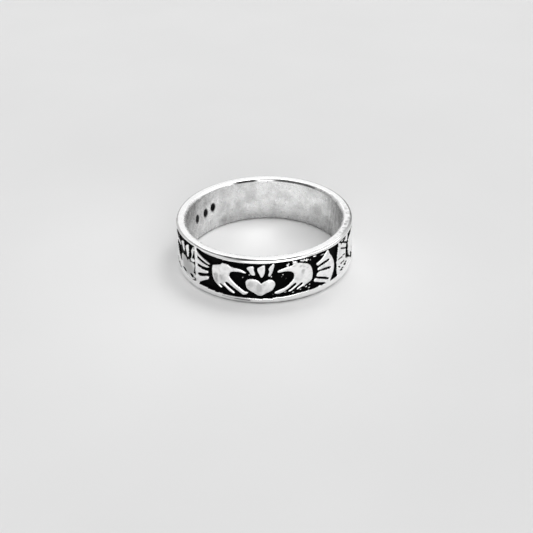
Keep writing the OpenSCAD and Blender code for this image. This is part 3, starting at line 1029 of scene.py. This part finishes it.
# The tarnish attribute also holds painted shade and painted dark reflections of the inner wall
skin = node(tree, "Mix", {SHARE: film_and_painted_shade, COLOUR_A: bare, COLOUR_B: tarnish_and_shade_grey},
            data_type="RGBA").outputs[MIXED_COLOUR]
colour = node(tree, "Mix", {SHARE: punched, COLOUR_A: skin, COLOUR_B: linear("#0E0E0F")},
              data_type="RGBA").outputs[MIXED_COLOUR]
roughness = node(tree, "MapRange", {"Value": mottle, "From Min": 0.3, "From Max": 0.7,
                                    "To Min": 0.20, "To Max": 0.36}).outputs[0]
bump = node(tree, "Bump", {
    "Height": mottle, "Strength": 0.6, "Distance": mottle_height * MM}).outputs[0]
shader = node(tree, "BsdfPrincipled", {
    "Base Color": colour, "Metallic": 1.0, "Roughness": roughness, "Normal": bump})
node(tree, "OutputMaterial", {"Surface": shader.outputs[0]})
ring_mesh.materials.append(satin)
print("inside:", satin.name)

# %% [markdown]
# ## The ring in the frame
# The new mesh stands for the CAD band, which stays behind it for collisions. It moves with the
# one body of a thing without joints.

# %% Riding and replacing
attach(ring, "root")
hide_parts("band")
print("rides on root, replaces band")

# %% [markdown]
# ## Floor
# The ring lies on its lower rim on smooth white paper. A matt surface with the faintest cloudy
# unevenness is enough, because metal borrows nearly all of its look from what is round it.

# %% White paper
floor_half = 0.6

bm = bmesh.new()
bmesh.ops.create_grid(bm, x_segments=8, y_segments=8, size=floor_half)
floor_mesh = bpy.data.meshes.new("Floor")
bm.to_mesh(floor_mesh)
bm.free()
floor = bpy.data.objects.new("Floor", floor_mesh)
bpy.context.collection.objects.link(floor)
paper, tree = new_material("White paper, smooth")
place = node(tree, "TexCoord").outputs["Object"]
smudge = node(tree, "TexNoise", {"Vector": place, "Scale": per_mm(22), "Detail": 2.0}).outputs[0]
tint = node(tree, "Mix", {SHARE: smudge, COLOUR_A: linear("#E0E0E0"), COLOUR_B: linear("#E6E6E6")},
            data_type="RGBA").outputs[MIXED_COLOUR]
shader = node(tree, "BsdfPrincipled", {"Base Color": tint, "Roughness": 0.85, "Specular IOR Level": 0.2})
node(tree, "OutputMaterial", {"Surface": shader.outputs[0]})
floor_mesh.materials.append(paper)
print("floor in m:", floor_mesh.vertices[0].co[:2], "to", floor_mesh.vertices[-1].co[:2])

# %% [markdown]
# ## The room
# Polished silver shows the room, so the room is designed with the ring in view. Its grey changes
# from the floor up to the ceiling, and a few broad soft patches are brighter or darker than that.
# They draw the light and dark bands on the curved wall.

# %% Pale room with soft patches
room_strength = 0.80
room_greys = [
    # sine of the elevation, grey
    (0, 0.45), (0.1, 0.6), (0.26, 0.84), (0.58, 0.86), (0.76, 0.62), (0.94, 0.62), (1, 0.72),
]
patches_of_light = [
    # azimuth from behind, elevation, reach of the full patch and of its edge in degrees, change
    (30, 5, 10, 20, -0.3), (90, 38, 18, 32, 0.75), (-90, 34, 14, 34, 0.15),
    (-5, 25, 8, 22, 0.35), (168, 6, 20, 45, 3.9), (180, 55, 25, 45, -0.35),
]

room = bpy.data.worlds.new("Pale room")
room.use_nodes = True
tree = room.node_tree
tree.nodes.clear()
look = node(tree, "TexCoord").outputs["Generated"]
height = node(tree, "SeparateXYZ", {"Vector": look}).outputs["Z"]
walls = node(tree, "ValToRGB", {0: height})
for place, grey in room_greys[1:-1]:
    walls.color_ramp.elements.new(place)
for stop, (place, grey) in zip(walls.color_ramp.elements, room_greys):
    stop.position = place
    stop.color = (grey, grey, grey, 1)
glow = walls.outputs[0]
for azimuth, elevation, full, edge, change in patches_of_light:
    azimuth, elevation = math.radians(azimuth), math.radians(elevation)
    flat = math.cos(elevation)
    towards = (math.sin(azimuth) * flat, math.cos(azimuth) * flat, math.sin(elevation))
    facing = node(tree, "VectorMath", {0: look, 1: towards}, operation="DOT_PRODUCT").outputs["Value"]
    part = node(tree, "MapRange", {"Value": facing, "From Min": math.cos(math.radians(edge)),
                                   "From Max": math.cos(math.radians(full)), "To Max": change},
                interpolation_type="SMOOTHSTEP").outputs[0]
    glow = node(tree, "Math", {0: glow, 1: part}, operation="ADD").outputs[0]
glow = node(tree, "Math", {0: glow, 1: 0.0}, operation="MAXIMUM").outputs[0]
wall_light = node(tree, "Background", {"Color": glow, "Strength": room_strength})
node(tree, "OutputWorld", {"Surface": wall_light.outputs[0]})
bpy.context.scene.world = room
print("patches of light:", len(patches_of_light))

# %% [markdown]
# ## Two lamps
# A broad lamp above and behind the ring throws the faint shadow in front of it. A small one
# close above the hole lights the floor inside the ring, which the band would otherwise shade.

# %% Broad lamp and close lamp
def soft_lamp(name, place, aim_at, size, spread, watts):
    """Hangs a square lamp at a place in metres and turns it to a spot; the camera doesn't see it."""
    lamp = bpy.data.lights.new(name, "AREA")
    lamp.shape = "SQUARE"
    lamp.size = size
    lamp.spread = math.radians(spread)
    lamp.energy = watts
    hung = bpy.data.objects.new(name, lamp)
    aim = (Vector(aim_at) - Vector(place)).to_track_quat("-Z", "Y")
    hung.matrix_world = Matrix.Translation(place) @ aim.to_matrix().to_4x4()
    hung.visible_camera = False
    bpy.context.collection.objects.link(hung)
    print(name, "at", place, "size", size, "m, spread", spread, "degrees", watts, "W")


soft_lamp("Lamp_above_behind", (0.09, 0.38, 0.76), (0, 0, 0), size=0.7, spread=180, watts=2.0)
soft_lamp("Lamp_close_above", (0.006, 0.008, 0.042), (-0.004, -0.004, 0),
          size=0.015, spread=75, watts=0.0007)

# %% [markdown]
# ## Camera
# The camera stands about 13 cm from the ring and looks down at it by 31.6 degrees, with the
# least tilt to one side. A short distance makes the front of the pattern clearly larger than
# its sides, so the distance is set before the lens.

# %% Camera
eye = Vector((0.145, -112.245, 67.534)) * MM
looking_down = math.radians(31.58)
tilt = math.radians(-1.48)
camera_data = bpy.data.cameras.new("Camera")
camera_data.lens = 74.3
camera_data.sensor_width = 36
camera_data.clip_start = 0.01
camera = bpy.data.objects.new("Camera", camera_data)
camera.matrix_world = (Matrix.Translation(eye) @ Matrix.Rotation(math.pi / 2 - looking_down, 4, "X")
                       @ Matrix.Rotation(tilt, 4, "Z"))
bpy.context.collection.objects.link(camera)
bpy.context.scene.camera = camera
bpy.context.scene.view_settings.view_transform = "Standard"
bpy.context.scene.cycles.blur_glossy = 0.0
print("camera at", [round(c, 4) for c in eye], "lens", camera_data.lens)

# %% [markdown]
# ## Sizes kept
# The looks never change the dimensions.

# %% Finish
print("finished")
